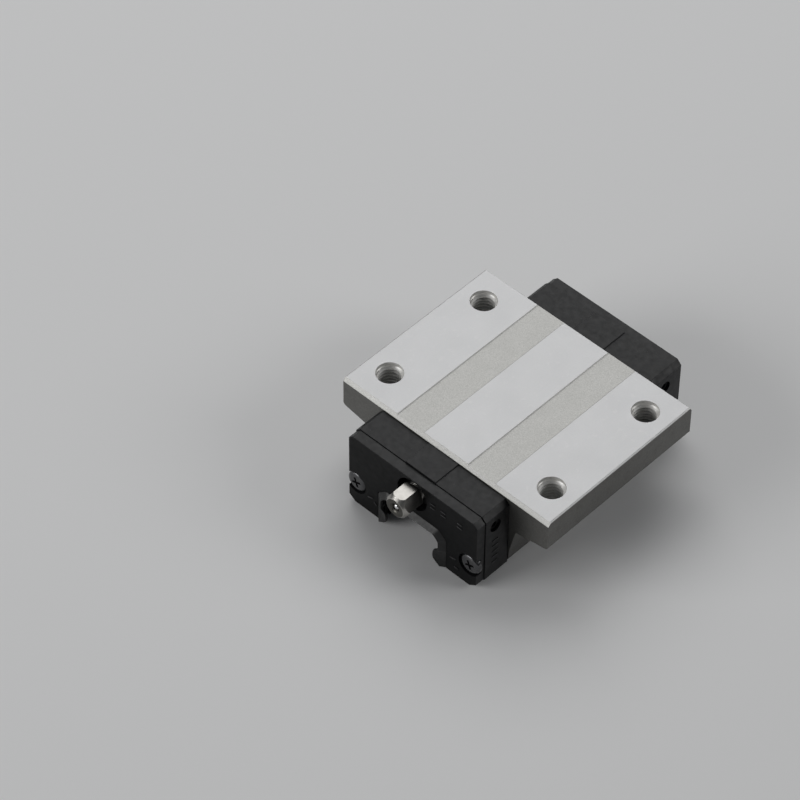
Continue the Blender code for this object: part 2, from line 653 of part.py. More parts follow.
def build_port_plug():
    """Socket set screw that closes the rear cap's lubrication port."""
    end_radius = NIPPLE_SHANK_RADIUS - PLUG_END_CHAMFER
    profile = [(PLUG_OUTER_Y, 0.0), (PLUG_OUTER_Y, end_radius),
               (PLUG_OUTER_Y - PLUG_END_CHAMFER, NIPPLE_SHANK_RADIUS),
               (PLUG_INNER_Y + PLUG_END_CHAMFER, NIPPLE_SHANK_RADIUS),
               (PLUG_INNER_Y, end_radius), (PLUG_INNER_Y, 0.0)]
    plug = turned_mesh([(-axial, radius) for axial, radius in profile][::-1], 16)
    plug.transform(ALONG_Y)
    socket = cylinder_cutter((0, PLUG_OUTER_Y, 0), (0, 1, 0), PLUG_SOCKET_RADIUS,
                             2 * PLUG_SOCKET_DEPTH, 6)
    add_object("rear_port_plug", combine(plug, "DIFFERENCE", [socket]), SCREW_STEEL,
               Matrix.Translation((0, 0, PORT_Z)))


build_block()
build_caps_and_guides()
build_seals()
build_balls()
build_screws()
build_nipple()
build_port_plug()
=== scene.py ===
"""Looks of a size 15 flanged linear guide carriage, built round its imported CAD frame.

Metres, +Z up, origin at the centre of the top mounting face, travel along Y, nipple at -Y.
"""
import json
import math

import bmesh
import bpy
from mathutils import Matrix, Vector


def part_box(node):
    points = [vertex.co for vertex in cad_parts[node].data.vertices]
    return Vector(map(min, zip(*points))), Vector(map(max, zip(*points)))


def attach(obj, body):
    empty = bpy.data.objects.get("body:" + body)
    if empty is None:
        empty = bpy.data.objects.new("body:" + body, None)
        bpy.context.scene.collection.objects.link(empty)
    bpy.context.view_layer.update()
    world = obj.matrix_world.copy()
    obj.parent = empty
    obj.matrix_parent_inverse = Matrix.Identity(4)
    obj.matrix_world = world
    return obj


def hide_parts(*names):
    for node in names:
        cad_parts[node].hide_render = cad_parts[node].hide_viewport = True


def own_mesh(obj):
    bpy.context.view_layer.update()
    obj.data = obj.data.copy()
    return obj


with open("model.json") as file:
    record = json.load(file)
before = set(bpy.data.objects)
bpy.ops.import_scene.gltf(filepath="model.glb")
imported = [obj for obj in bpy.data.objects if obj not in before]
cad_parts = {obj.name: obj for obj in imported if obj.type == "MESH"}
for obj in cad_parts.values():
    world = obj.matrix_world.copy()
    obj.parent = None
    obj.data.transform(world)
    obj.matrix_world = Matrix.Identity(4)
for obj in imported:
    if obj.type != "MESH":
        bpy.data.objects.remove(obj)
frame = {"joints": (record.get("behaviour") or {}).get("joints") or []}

MM = 0.001
ROOT = "carriage"
SIDES = {"left": -1, "right": 1}
ENDS = {"front": -1, "rear": 1}
ROWS = ("upper", "lower")
ALONG_Y = Matrix.Rotation(math.pi / 2, 4, "X")

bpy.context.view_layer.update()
BLOCK_LOW, BLOCK_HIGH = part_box("carriage_block")
CAP_LOW, CAP_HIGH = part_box("rear_end_cap")
SEAL_LOW, SEAL_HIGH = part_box("rear_end_seal")
LIP_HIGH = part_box("rear_seal_lip")[1]
FLOOR_Z = CAP_LOW.z
FLOOR_HALF = 3.0

# Sizes that the boxes don't give, as in the CAD model
HOLES = [(sx * 20.5 * MM, sy * 13.0 * MM) for sx in (-1, 1) for sy in (-1, 1)]
LEAD_IN_RADIUS = 2.75 * MM
LEAD_IN_DEPTH = 0.8 * MM
THREAD_PITCH = 0.8 * MM
THREAD_MINOR = 2.2 * MM
THREAD_MAJOR = 2.56 * MM
CENTRE_STRIP = 5.55 * MM
GROOVE_EDGE = 12.42 * MM
GROOVE_DEPTH = 0.22 * MM
GROOVE_SLOPE = 0.16 * MM
GROOVE_RIM = 0.03 * MM
EDGE_RADIUS = 0.34 * MM
END_CHAMFER_RUN = 0.55 * MM
END_CHAMFER_DROP = 0.9 * MM
BALL_RADIUS = 1.389 * MM
TUNNEL_RADIUS = 1.549 * MM
RACE_RADIUS = 1.45 * MM
TURN_RADIUS = 2.0 * MM
BALLS_PER_STRAIGHT = 13
PORT_Z = -5.5 * MM
PORT_RADIUS = 2.15 * MM
PORT_THREAD_PITCH = 0.7 * MM
SIDE_PORT = (16.5 * MM, -23.6 * MM, -4.9 * MM)
SCREW_X = 14.5 * MM
SCREW_Z = -13.8 * MM
SCREW_HOLE_RADIUS = 1.4 * MM
SCREW_HOLE_DEPTH = 6.3 * MM
SCREW_HEAD_RADIUS = 2.3 * MM
SCREW_POCKET_RADIUS = 2.6 * MM
SCREW_POCKET_FLOOR_Y = -27.1 * MM
SEAL_PORT_RADIUS = 3.7 * MM

# Camera, as a photographer would set it: a long lens, high and from the front right
LENS_MM = 162.96
SENSOR_MM = 36.0
CAMERA_AZIMUTH = math.radians(43.45)
CAMERA_ELEVATION = math.radians(47.94)
CAMERA_ROLL = math.radians(0.35)
CAMERA_DISTANCE = 675.5 * MM
CAMERA_TARGET = Vector((-14.39, -16.60, 0.0)) * MM


# Materials -------------------------------------------------------------------------------------

class Coat:
    """A Principled material whose textures are measured in millimetres."""

    def __init__(self, name, colour, metallic, roughness, **sockets):
        self.material = bpy.data.materials.new(name)
        self.material.use_nodes = True
        self.tree = self.material.node_tree
        self.shader = self.tree.nodes["Principled BSDF"]
        self.shader.inputs["Base Color"].default_value = (*colour, 1.0)
        self.shader.inputs["Metallic"].default_value = metallic
        self.shader.inputs["Roughness"].default_value = roughness
        for socket, value in sockets.items():
            self.shader.inputs[socket.replace("_", " ")].default_value = value
        self.normal = None
        self.place = self.tree.nodes.new("ShaderNodeTexCoord").outputs["Object"]

    def add(self, kind, links=(), **values):
        """A node with settings, and links given as (socket, output) pairs."""
        node = self.tree.nodes.new(kind)
        for name, value in values.items():
            setattr(node, name, value)
        for socket, output in links:
            self.tree.links.new(output, node.inputs[socket])
        return node

    def scaled(self, stretch=(1, 1, 1)):
        """Object coordinates in millimetres, stretched by a factor along each axis."""
        node = self.add("ShaderNodeMapping", [("Vector", self.place)])
        node.inputs["Scale"].default_value = [s / MM for s in stretch]
        return node.outputs["Vector"]

    def noise(self, size_mm, detail=4.0, stretch=(1, 1, 1), rough=0.55):
        """Soft noise with features about size_mm across."""
        node = self.add("ShaderNodeTexNoise", [("Vector", self.scaled(stretch))])
        node.inputs["Scale"].default_value = 1.0 / size_mm
        node.inputs["Detail"].default_value = detail
        node.inputs["Roughness"].default_value = rough
        return node.outputs["Fac"]

    def cells(self, size_mm):
        """Distance to the nearest point of a random grid."""
        node = self.add("ShaderNodeTexVoronoi", [("Vector", self.scaled())])
        node.inputs["Scale"].default_value = 1.0 / size_mm
        return node.outputs["Distance"]

    def spread(self, output, low, high, to_low=0.0, to_high=1.0):
        """Map a value from one range to another, clamped."""
        node = self.add("ShaderNodeMapRange", [("Value", output)])
        node.inputs["From Min"].default_value = low
        node.inputs["From Max"].default_value = high
        node.inputs["To Min"].default_value = to_low
        node.inputs["To Max"].default_value = to_high
        return node.outputs["Result"]

    def multiply(self, first, second):
        node = self.add("ShaderNodeMath", [(0, first), (1, second)], operation="MULTIPLY")
        return node.outputs["Value"]

    def tint(self, output, other):
        """Blend the base colour towards another one by a value."""
        node = self.add("ShaderNodeMix", data_type="RGBA")
        source = self.shader.inputs["Base Color"]
        if source.is_linked:
            self.tree.links.new(source.links[0].from_socket, node.inputs["A"])
        else:
            node.inputs["A"].default_value = source.default_value
        node.inputs["B"].default_value = (*other, 1.0)
        self.tree.links.new(output, node.inputs["Factor"])
        self.tree.links.new(node.outputs["Result"], source)

    def vary_roughness(self, output, low, high):
        mapped = self.spread(output, 0.3, 0.7, low, high)
        self.tree.links.new(mapped, self.shader.inputs["Roughness"])

    def bump(self, output, depth_mm, strength=1.0):
        """Raise the surface by up to depth_mm."""
        node = self.add("ShaderNodeBump", [("Height", output)])
        node.inputs["Strength"].default_value = strength
        node.inputs["Distance"].default_value = depth_mm * MM
        if self.normal:
            self.tree.links.new(self.normal, node.inputs["Normal"])
        self.normal = node.outputs["Normal"]
        self.tree.links.new(self.normal, self.shader.inputs["Normal"])


def ground_steel():
    """Surface-ground steel: even satin, faint clouds and specks, hair-fine lines along Y."""
    coat = Coat("ground_steel", (0.475, 0.476, 0.479), 0.75, 0.44)
    clouds = coat.noise(7.0, 4.0)
    coat.tint(coat.spread(clouds, 0.35, 0.65, 0.0, 0.15), (0.43, 0.433, 0.437))
    blots = coat.noise(1.4, 6.0, rough=0.7)
    coat.tint(coat.spread(blots, 0.56, 0.74, 0.0, 0.5), (0.555, 0.553, 0.545))
    specks = coat.noise(0.3, 4.0, rough=0.7)
    coat.tint(coat.spread(specks, 0.48, 0.72, 0.0, 0.35), (0.41, 0.412, 0.42))
    lines = coat.noise(0.16, 2.0, stretch=(1, 0.012, 1))
    coat.tint(coat.spread(lines, 0.45, 0.75, 0.0, 0.15), (0.42, 0.42, 0.43))
    coat.vary_roughness(clouds, 0.43, 0.45)
    coat.bump(lines, 0.002, 0.5)
    coat.bump(specks, 0.004, 0.35)
    return coat.material


def blasted_steel():
    """Recessed strips and end chamfers: sandy grain, a little warmer and darker."""
    coat = Coat("blasted_steel", (0.42, 0.418, 0.403), 0.75, 0.50)
    grain = coat.noise(0.17, 4.0, stretch=(1, 0.7, 1), rough=0.75)
    coat.tint(coat.spread(grain, 0.40, 0.64), (0.54, 0.537, 0.518))
    pits = coat.cells(0.34)
    coat.tint(coat.spread(pits, 0.10, 0.34, 0.5, 0.0), (0.28, 0.275, 0.262))
    coat.tint(coat.spread(coat.noise(4.0), 0.4, 0.65, 0.0, 0.15), (0.36, 0.355, 0.34))
    coat.bump(grain, 0.05, 0.45)
    coat.bump(pits, 0.03, 0.3)
    return coat.material


def drawn_steel_painted_shade():
    """Sides, end faces and legs: dull, drawn along Y, with small stains; the base is darkened as
    painted shade on these sides.
    """
    coat = Coat("drawn_steel_painted_shade", (0.165, 0.163, 0.155), 1.0, 0.48)
    grain = coat.noise(0.4, 5.0, rough=0.7)
    coat.tint(coat.spread(grain, 0.40, 0.66, 0.0, 0.6), (0.23, 0.227, 0.216))
    stains = coat.noise(2.6, 6.0, rough=0.7)
    coat.tint(coat.spread(stains, 0.54, 0.72, 0.0, 0.45), (0.14, 0.135, 0.125))
    lines = coat.noise(0.2, 2.0, stretch=(1, 0.02, 1))
    coat.tint(coat.spread(lines, 0.5, 0.75, 0.0, 0.25), (0.15, 0.147, 0.14))
    coat.vary_roughness(stains, 0.43, 0.55)
    coat.bump(grain, 0.008, 0.35)
    coat.bump(lines, 0.004, 0.4)
    return coat.material


def edge_steel_highlight_and_wear():
    """The eased long edges of the top: lighter base as a painted highlight along the edges, with
    brighter rubbed patches.
    """
    coat = Coat("edge_steel_highlight_and_wear", (0.56, 0.56, 0.55), 0.8, 0.5)
    lines = coat.noise(0.12, 3.0, stretch=(0.05, 1, 1))
    coat.tint(coat.spread(lines, 0.5, 0.75, 0.0, 0.3), (0.46, 0.46, 0.45))
    coat.tint(coat.spread(coat.noise(1.0, 5.0), 0.52, 0.7, 0.0, 0.5), (0.70, 0.695, 0.68))
    coat.bump(lines, 0.002, 0.4)
    return coat.material


def thread_steel():
    """Lead-ins and thread crests: bright, with a brown cast in patches."""
    coat = Coat("thread_steel", (0.80, 0.79, 0.765), 0.35, 0.42)
    coat.tint(coat.spread(coat.noise(0.8, 5.0), 0.48, 0.72, 0.0, 0.4), (0.55, 0.53, 0.49))
    rings = coat.noise(0.08, 2.0, stretch=(0.15, 0.15, 1))
    coat.bump(rings, 0.004, 0.5)
    return coat.material


def thread_root_painted_shade():
    """Thread roots: painted shade, dark where the thread's own shade falls, against the lighter
    thread_steel crests.
    """
    coat = Coat("thread_root_painted_shade", (0.08, 0.078, 0.07), 1.0, 0.45)
    coat.tint(coat.spread(coat.noise(0.5, 4.0), 0.45, 0.7, 0.0, 0.6), (0.05, 0.047, 0.04))
    return coat.material


def race_steel():
    """Hardened and honed ball races."""
    coat = Coat("race_steel", (0.66, 0.66, 0.665), 1.0, 0.16)
    lines = coat.noise(0.07, 2.0, stretch=(1, 0.01, 1))
    coat.tint(coat.spread(lines, 0.45, 0.75, 0.0, 0.3), (0.52, 0.52, 0.53))
    coat.vary_roughness(coat.noise(1.5, 4.0), 0.12, 0.24)
    coat.bump(lines, 0.002, 0.6)
    return coat.material


def moulded_plastic(name, colour, roughness, grain_mm, dust, gloss=0.3):
    """Black glass-filled nylon: fine leathery skin, faint flow clouds and a few dust specks."""
    coat = Coat(name, colour, 0.0, roughness, Specular_IOR_Level=gloss)
    clouds = coat.noise(3.5, 4.0)
    lighter = [c * 1.7 for c in colour]
    coat.tint(coat.spread(clouds, 0.4, 0.68, 0.0, 0.7), lighter)
    specks = coat.spread(coat.cells(0.9), 0.02, 0.07, dust, 0.0)
    patchy = coat.spread(coat.noise(6.0, 2.0), 0.52, 0.62)
    coat.tint(coat.multiply(specks, patchy), (0.30, 0.30, 0.30))
    coat.vary_roughness(coat.noise(1.2, 4.0), roughness - 0.06, roughness + 0.07)
    coat.bump(coat.noise(grain_mm, 3.0, rough=0.6), 0.012, 0.45)
    return coat.material


def rubber(name, colour, roughness):
    """Moulded nitrile: dense, slightly greasy."""
    coat = Coat(name, colour, 0.0, roughness, Specular_IOR_Level=0.3)
    coat.tint(coat.spread(coat.noise(2.0, 5.0), 0.45, 0.7, 0.0, 0.6), [c * 1.8 for c in colour])
    coat.vary_roughness(coat.noise(0.8, 4.0), roughness - 0.08, roughness + 0.08)
    coat.bump(coat.noise(0.3, 3.0), 0.01, 0.4)
    return coat.material


def nickel_plate():
    """Bright warm nickel with turning marks and a few soft scratches."""
    coat = Coat("nickel_plate", (0.43, 0.418, 0.395), 1.0, 0.33)
    coat.tint(coat.spread(coat.noise(1.1, 5.0), 0.5, 0.72, 0.0, 0.4), (0.36, 0.347, 0.32))
    rings = coat.noise(0.1, 2.0, stretch=(0.08, 1, 0.08))
    coat.tint(coat.spread(rings, 0.5, 0.75, 0.0, 0.25), (0.45, 0.43, 0.39))
    coat.vary_roughness(coat.noise(0.7, 5.0), 0.29, 0.38)
    coat.bump(rings, 0.004, 0.5)
    return coat.material


def nose_nickel_painted_shade():
    """The nipple's end face and bore: darker nickel as painted shade in the bore and a painted dark
    reflection on the end face.
    """
    coat = Coat("nose_nickel_painted_shade", (0.09, 0.087, 0.078), 1.0, 0.34)
    coat.tint(coat.spread(coat.noise(0.5, 5.0), 0.5, 0.7, 0.0, 0.6), (0.045, 0.042, 0.036))
    coat.bump(coat.noise(0.2, 3.0), 0.004, 0.4)
    return coat.material


def black_oxide():
    """Blackened screws: dark, oily, with bare metal showing through at rubbed places."""
    coat = Coat("black_oxide", (0.10, 0.10, 0.104), 0.9, 0.2)
    rubbed = coat.noise(0.5, 6.0, rough=0.7)
    coat.tint(coat.spread(rubbed, 0.58, 0.72, 0.0, 0.8), (0.22, 0.215, 0.20))
    coat.vary_roughness(coat.noise(0.6, 4.0), 0.15, 0.28)
    coat.bump(coat.noise(0.15, 3.0), 0.005, 0.4)
    return coat.material


def ball_steel():
    """Lapped bearing balls under a film of oil."""
    coat = Coat("ball_steel", (0.72, 0.72, 0.73), 1.0, 0.06)
    coat.tint(coat.spread(coat.noise(1.0, 3.0), 0.5, 0.75, 0.0, 0.3), (0.58, 0.575, 0.56))
    coat.vary_roughness(coat.noise(0.5, 3.0), 0.04, 0.1)
    return coat.material


def spring_steel():
    """Drawn spring wire."""
    coat = Coat("spring_steel", (0.52, 0.51, 0.5), 1.0, 0.25)
    coat.tint(coat.spread(coat.noise(0.2, 4.0), 0.5, 0.7, 0.0, 0.5), (0.36, 0.35, 0.33))
    coat.bump(coat.noise(0.04, 2.0), 0.002, 0.4)
    return coat.material


GROUND = ground_steel()
BLASTED = blasted_steel()
DRAWN = drawn_steel_painted_shade()
EDGE = edge_steel_highlight_and_wear()
THREAD = thread_steel()
SHADED_THREAD_ROOT = thread_root_painted_shade()
RACE = race_steel()
CAP_PLASTIC = moulded_plastic("cap_plastic", (0.0055, 0.0057, 0.0062), 0.44, 0.28, 0.5)
SEAL_EDGE = moulded_plastic("seal_edge", (0.0062, 0.0064, 0.0070), 0.42, 0.2, 0.35)
# Darker, less glossy copy of the seal plastic for the plate's flat faces: painted shade that hides
# the floor's reflection.
SHADED_SEAL_FACE = moulded_plastic("seal_face_painted_shade", (0.0030, 0.0031, 0.0033), 0.42, 0.2, 0.2, gloss=0.1)
# Lighter than the plate it stands on: painted highlight on the raised marks and ribs.
MARK_PLASTIC = moulded_plastic("mark_plastic_painted_highlight", (0.020, 0.020, 0.021), 0.3, 0.2, 0.0, gloss=0.5)
GUIDE_PLASTIC = moulded_plastic("guide_plastic", (0.022, 0.022, 0.023), 0.4, 0.2, 0.0)
LIP_RUBBER = rubber("lip_rubber", (0.016, 0.016, 0.016), 0.42)
NICKEL = nickel_plate()
NOSE_SHADE_NICKEL = nose_nickel_painted_shade()
BLACK_OXIDE = black_oxide()
BALL_STEEL = ball_steel()
SPRING_STEEL = spring_steel()


# Mesh helpers ----------------------------------------------------------------------------------

def mesh_of(work, name="shape"):
    """Turn a bmesh into a mesh with outward faces."""
    bmesh.ops.recalc_face_normals(work, faces=work.faces)
    mesh = bpy.data.meshes.new(name)
    work.to_mesh(mesh)
    work.free()
    return mesh


def millimetres(points):
    return [(a * MM, b * MM) for a, b in points]


def arc(centre, radius, start_deg, end_deg, steps):
    """Points on an arc, both ends included."""
    angles = [math.radians(start_deg + (end_deg - start_deg) * i / steps) for i in range(steps + 1)]
    return [(centre[0] + radius * math.cos(a), centre[1] + radius * math.sin(a)) for a in angles]


def rounded(points, radius, steps=4, closed=True):
    """Replace each corner of an outline by a small curve that starts radius away from it."""
    result = []
    count = len(points)
    for i, point in enumerate(points):
        if not closed and i in (0, count - 1):
            result.append(point)
            continue
        corner = Vector(point)
        before = Vector(points[i - 1]) - corner
        after = Vector(points[(i + 1) % count]) - corner
        reach = min(radius, before.length * 0.45, after.length * 0.45)
        start = corner + before.normalized() * reach
        end = corner + after.normalized() * reach
        for k in range(steps + 1):
            t = k / steps
            here = start * (1 - t) ** 2 + corner * 2 * t * (1 - t) + end * t ** 2
            result.append((here.x, here.y))
    return result


def mirrored(half):
    """Close a right-hand outline over X = 0."""
    return half + [(-x, z) for x, z in reversed(half) if x > 1e-7]


def prism(outline, y_low, y_high):
    """Extrude an (x, z) outline along Y."""
    work = bmesh.new()
    face = work.faces.new([work.verts.new((x, y_low, z)) for x, z in outline])
    grown = bmesh.ops.extrude_face_region(work, geom=[face])
    moved = [v for v in grown["geom"] if isinstance(v, bmesh.types.BMVert)]
    bmesh.ops.translate(work, verts=moved, vec=(0, y_high - y_low, 0))
    return mesh_of(work)


def turned(profile, segments):
    """Turn an (axial, radius) profile about Z; its ends lie on the axis."""
    work = bmesh.new()
    rings = []
    for axial, radius in profile:
        if radius < 1e-9:
            rings.append([work.verts.new((0, 0, axial))])
            continue
        angles = [2 * math.pi * k / segments for k in range(segments)]
        rings.append([work.verts.new((radius * math.cos(a), radius * math.sin(a), axial))
                      for a in angles])
    for first, second in zip(rings, rings[1:]):
        for k in range(segments):
            n = (k + 1) % segments
            corners = [first[k % len(first)], first[n % len(first)],
                       second[n % len(second)], second[k % len(second)]]
            work.faces.new(list(dict.fromkeys(corners)))
    return mesh_of(work)


def turned_y(profile, segments):
    """Turn a (y, radius) profile about the Y axis."""
    mesh = turned([(-y, radius) for y, radius in profile], segments)
    mesh.transform(ALONG_Y)
    return mesh


def cylinder(centre, axis, radius, length, segments=48):
    """A closed cylinder."""
    half = length / 2
    mesh = turned([(-half, 0), (-half, radius), (half, radius), (half, 0)], segments)
    turn = Vector(axis).to_track_quat("Z", "Y").to_matrix().to_4x4()
    mesh.transform(Matrix.Translation(centre) @ turn)
    return mesh


def block_between(low, high):
    """A box between two corners."""
    work = bmesh.new()
    size = Vector(high) - Vector(low)
    middle = (Vector(high) + Vector(low)) / 2
    bmesh.ops.create_cube(work, size=1.0,
                          matrix=Matrix.Translation(middle) @ Matrix.Diagonal((*size, 1.0)))
    return mesh_of(work)


def apply_modifiers(holder):
    """The evaluated mesh of a scratch object, which is removed."""
    bpy.context.view_layer.update()
    graph = bpy.context.evaluated_depsgraph_get()
    mesh = bpy.data.meshes.new_from_object(holder.evaluated_get(graph), depsgraph=graph)
    bpy.data.objects.remove(holder)
    return mesh


def scratch(mesh):
    """A scratch object outside every piece."""
    holder = bpy.data.objects.new("scratch", mesh)
    bpy.context.scene.collection.objects.link(holder)
    return holder


def boolean(mesh, tools, operation="DIFFERENCE"):
    """Cut or join with each tool mesh in turn."""
    holder = scratch(mesh)
    helpers = [scratch(tool) for tool in tools]
    for helper in helpers:
        step = holder.modifiers.new("step", "BOOLEAN")
        step.operation = operation
        step.solver = "EXACT"
        step.object = helper
    result = apply_modifiers(holder)
    for helper in helpers:
        bpy.data.objects.remove(helper)
    work = bmesh.new()
    work.from_mesh(result)
    bmesh.ops.remove_doubles(work, verts=work.verts, dist=1e-7)
    bmesh.ops.dissolve_degenerate(work, edges=work.edges, dist=1e-7)
    return mesh_of(work)


def soften(mesh, width, segments=2, longer_than=0.3 * MM, angle_deg=25.0, where=None):
    """Round the sharp edges that are longer than a limit, or only those where says."""
    work = bmesh.new()
    work.from_mesh(mesh)
    limit = math.radians(angle_deg)
    edges = [e for e in work.edges
             if len(e.link_faces) == 2 and e.calc_length() > longer_than
             and e.calc_face_angle() > limit
             and (where is None or where((e.verts[0].co + e.verts[1].co) / 2))]
    bmesh.ops.bevel(work, geom=edges, offset=width, offset_type="OFFSET", segments=segments,
                    profile=0.5, affect="EDGES", clamp_overlap=False)
    bmesh.ops.dissolve_degenerate(work, edges=work.edges, dist=1e-7)
    return mesh_of(work)


def joined(meshes):
    """Several shells in one mesh."""
    work = bmesh.new()
    for mesh in meshes:
        work.from_mesh(mesh)
    return mesh_of(work)


def placed(mesh, matrix):
    """A moved copy of a mesh."""
    copy = mesh.copy()
    copy.transform(matrix)
    return copy


def piece(name, mesh, coats, nodes=(), body=ROOT, sharp_deg=32.0, sort=None):
    """A finished piece of the object: shaded, coated, riding on its body."""
    coats = coats if isinstance(coats, (list, tuple)) else [coats]
    mesh.materials.clear()
    for coat in coats:
        mesh.materials.append(coat)
    for polygon in mesh.polygons:
        polygon.material_index = sort(polygon) if sort else 0
    mesh.shade_smooth()
    mesh.set_sharp_from_angle(angle=math.radians(sharp_deg))
    made = bpy.data.objects.new(name, mesh)
    bpy.context.scene.collection.objects.link(made)
    weighted = made.modifiers.new("weighted_normals", "WEIGHTED_NORMAL")
    weighted.keep_sharp = True
    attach(made, body)
    if nodes:
        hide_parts(*nodes)
    return made


# Where the ball circuits run -------------------------------------------------------------------

def middle_of(node):
    low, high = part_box(node)
    return (low + high) / 2


def joint_named(name):
    return next(joint for joint in frame["joints"] if joint["name"] == name)


def turn_frame(side, row, end):
    """Frame of one turnaround: local X from load to return, local Y outwards, Z its axis."""
    joint = joint_named(f"{side}_{row}_{end}_turn_roll")
    across = Vector((0, 1, 0)).cross(Vector(joint["axis"]))
    outwards = Vector((0, ENDS[end], 0))
    axes = Matrix((across, outwards, across.cross(outwards))).transposed().to_4x4()
    return Matrix.Translation(joint["pos_m"]) @ axes


def load_and_return(side, row):
    """Centres of the loaded row and of the return row, as (x, z)."""
    places = [middle_of(f"{side}_{row}_{kind}_balls") for kind in ("load", "return")]
    return [(place.x, place.z) for place in places]


# Steel block -----------------------------------------------------------------------------------

def tap(x, y):
    """Solid that cuts one tapped hole: lead-in, cone, helical thread and run-out."""
    columns = 48
    phases = ((0.0, THREAD_MINOR), (0.2, THREAD_MINOR), (0.45, THREAD_MAJOR),
              (0.75, THREAD_MAJOR))
    top = 0.9 * MM
    start = 0.6 * MM
    end = -11.0 * MM
    thread_top = -LEAD_IN_DEPTH
    thread_end = -7.2 * MM
    turns = int((start - end) / THREAD_PITCH)

    def radius_at(z, thread_radius):
        if z >= thread_top:
            return LEAD_IN_RADIUS
        cone = LEAD_IN_RADIUS - 1.3 * (thread_top - z)
        run_out = THREAD_MINOR + max(0.0, thread_end - z)
        return max(cone, min(THREAD_MAJOR, max(thread_radius, run_out)))

    work = bmesh.new()
    grid = []
    for row in range(turns * len(phases) + 1):
        phase, thread_radius = phases[row % len(phases)]
        ring = []
        for column in range(columns):
            angle = 2 * math.pi * column / columns
            drop = row // len(phases) + phase + column / columns
            z = start - drop * THREAD_PITCH
            radius = radius_at(z, thread_radius)
            ring.append(work.verts.new((x + radius * math.cos(angle),
                                        y + radius * math.sin(angle), z)))
        grid.append(ring)
    step = len(phases)
    for row in range(len(grid) - 1):
        for column in range(columns - 1):
            work.faces.new((grid[row][column], grid[row][column + 1],
                            grid[row + 1][column + 1], grid[row + 1][column]))
        if row + step + 1 < len(grid):
            work.faces.new((grid[row][-1], grid[row + step][0],
                            grid[row + step + 1][0], grid[row + 1][-1]))
    close_tap(work, grid, step, x, y, top, end - 2 * THREAD_PITCH)
    return mesh_of(work)


def close_tap(work, grid, step, x, y, top, bottom):
    """Flat ends over the helical first and last rows of a tap."""
    columns = len(grid[0])
    for z, row, first in ((top, 0, True), (bottom, len(grid) - 1, False)):
        radius = (grid[row][0].co.xy - Vector((x, y))).length
        ring = []
        for column in range(columns):
            angle = 2 * math.pi * column / columns
            ring.append(work.verts.new((x + radius * math.cos(angle),
                                        y + radius * math.sin(angle), z)))
        for column in range(columns - 1):
            work.faces.new((ring[column], ring[column + 1], grid[row][column + 1],
                            grid[row][column]))
        if first:
            seam = [grid[k][0] for k in range(step + 1)] + [grid[0][-1]]
        else:
            seam = [grid[row][0]] + [grid[row - k][-1] for k in range(step, -1, -1)]
        work.faces.new([ring[-1], ring[0]] + seam)
        work.faces.new(ring)


def block_outline():
    """Right half of the block's section, with the edges eased and the races round."""
    half_width = BLOCK_HIGH.x
    upper, lower = [load_and_return("right", row)[0] for row in ROWS]
    top = [(0.0, 0.0), (CENTRE_STRIP - GROOVE_RIM, 0.0), (CENTRE_STRIP, -GROOVE_RIM),
           (CENTRE_STRIP + GROOVE_SLOPE, -GROOVE_DEPTH),
           (GROOVE_EDGE - GROOVE_SLOPE, -GROOVE_DEPTH),
           (GROOVE_EDGE, -GROOVE_RIM), (GROOVE_EDGE + GROOVE_RIM, 0.0),
           (half_width - EDGE_RADIUS, 0.0)]
    edge = arc((half_width - EDGE_RADIUS, -EDGE_RADIUS), EDGE_RADIUS, 76, 14, 4)
    flank = rounded(millimetres([(26.0, -4.0), (26.0, -6.95), (25.45, -7.35), (18.2, -8.7),
                                 (16.8, -15.1), (16.65, -17.6), (16.4, -17.85), (7.9, -17.85),
                                 (7.8, -17.3)]), 0.5 * MM, 4, closed=False)[1:]
    lower_race = arc(lower, RACE_RADIUS, -100, 38, 20)
    upper_race = arc(upper, RACE_RADIUS, -38, 105, 20)
    roof_z = upper_race[-1][1]
    return top + edge + flank + lower_race + upper_race + [(0.0, roof_z)]


def chamfer_ends(mesh):
    """Cut the sloping chamfer along the front and back edges of the top."""
    work = bmesh.new()
    work.from_mesh(mesh)
    for sign in ENDS.values():
        everything = work.verts[:] + work.edges[:] + work.faces[:]
        cut = bmesh.ops.bisect_plane(work, geom=everything,
                                     plane_co=(0, sign * (BLOCK_HIGH.y - END_CHAMFER_RUN), 0),
                                     plane_no=(0, sign * END_CHAMFER_DROP, END_CHAMFER_RUN),
                                     clear_outer=True)
        rim = [e for e in cut["geom_cut"] if isinstance(e, bmesh.types.BMEdge)]
        bmesh.ops.contextual_create(work, geom=rim)
    return mesh_of(work)


BLOCK_COATS = [GROUND, BLASTED, DRAWN, EDGE, THREAD, RACE, SHADED_THREAD_ROOT]


def block_coat(face):
    """The steel finish of one face of the block; the sides and the thread roots carry painted
    shade, and the eased edges a painted highlight.
    """
    centre = face.center
    normal = face.normal
    from_hole = min(math.hypot(centre.x - x, centre.y - y) for x, y in HOLES)
    if from_hole < 2.8 * MM and abs(normal.z) < 0.96:
        in_thread = centre.z < -LEAD_IN_DEPTH - 0.3 * MM and from_hole > THREAD_MINOR + 0.1 * MM
        # Thread roots deeper than the minor radius, except faces turned up, take the painted-shade
        # root coat.
        return SHADED_THREAD_ROOT if in_thread and normal.z < 0.3 else THREAD
    if normal.z > 0.97 and centre.z > -0.1 * MM:
        return GROUND
    on_chamfer = abs(normal.y) > 0.3 and normal.z > 0.3
    in_groove = (centre.z > -GROOVE_DEPTH - 0.01 * MM
                 and abs(centre.x) < GROOVE_EDGE + 0.02 * MM)
    if on_chamfer or in_groove:
        return BLASTED
    # Eased long edges take the lighter edge coat: painted highlight along the edge, with rubbed
    # wear.
    if 0.15 < normal.z < 0.97 and centre.z > -1.0 * MM:
        return EDGE
    if abs(centre.x) < 9.7 * MM and centre.z < -10.5 * MM and abs(normal.y) < 0.5:
        return RACE
    # Everything else takes the darkened drawn steel: painted shade on the sides, ends and legs.
    return DRAWN


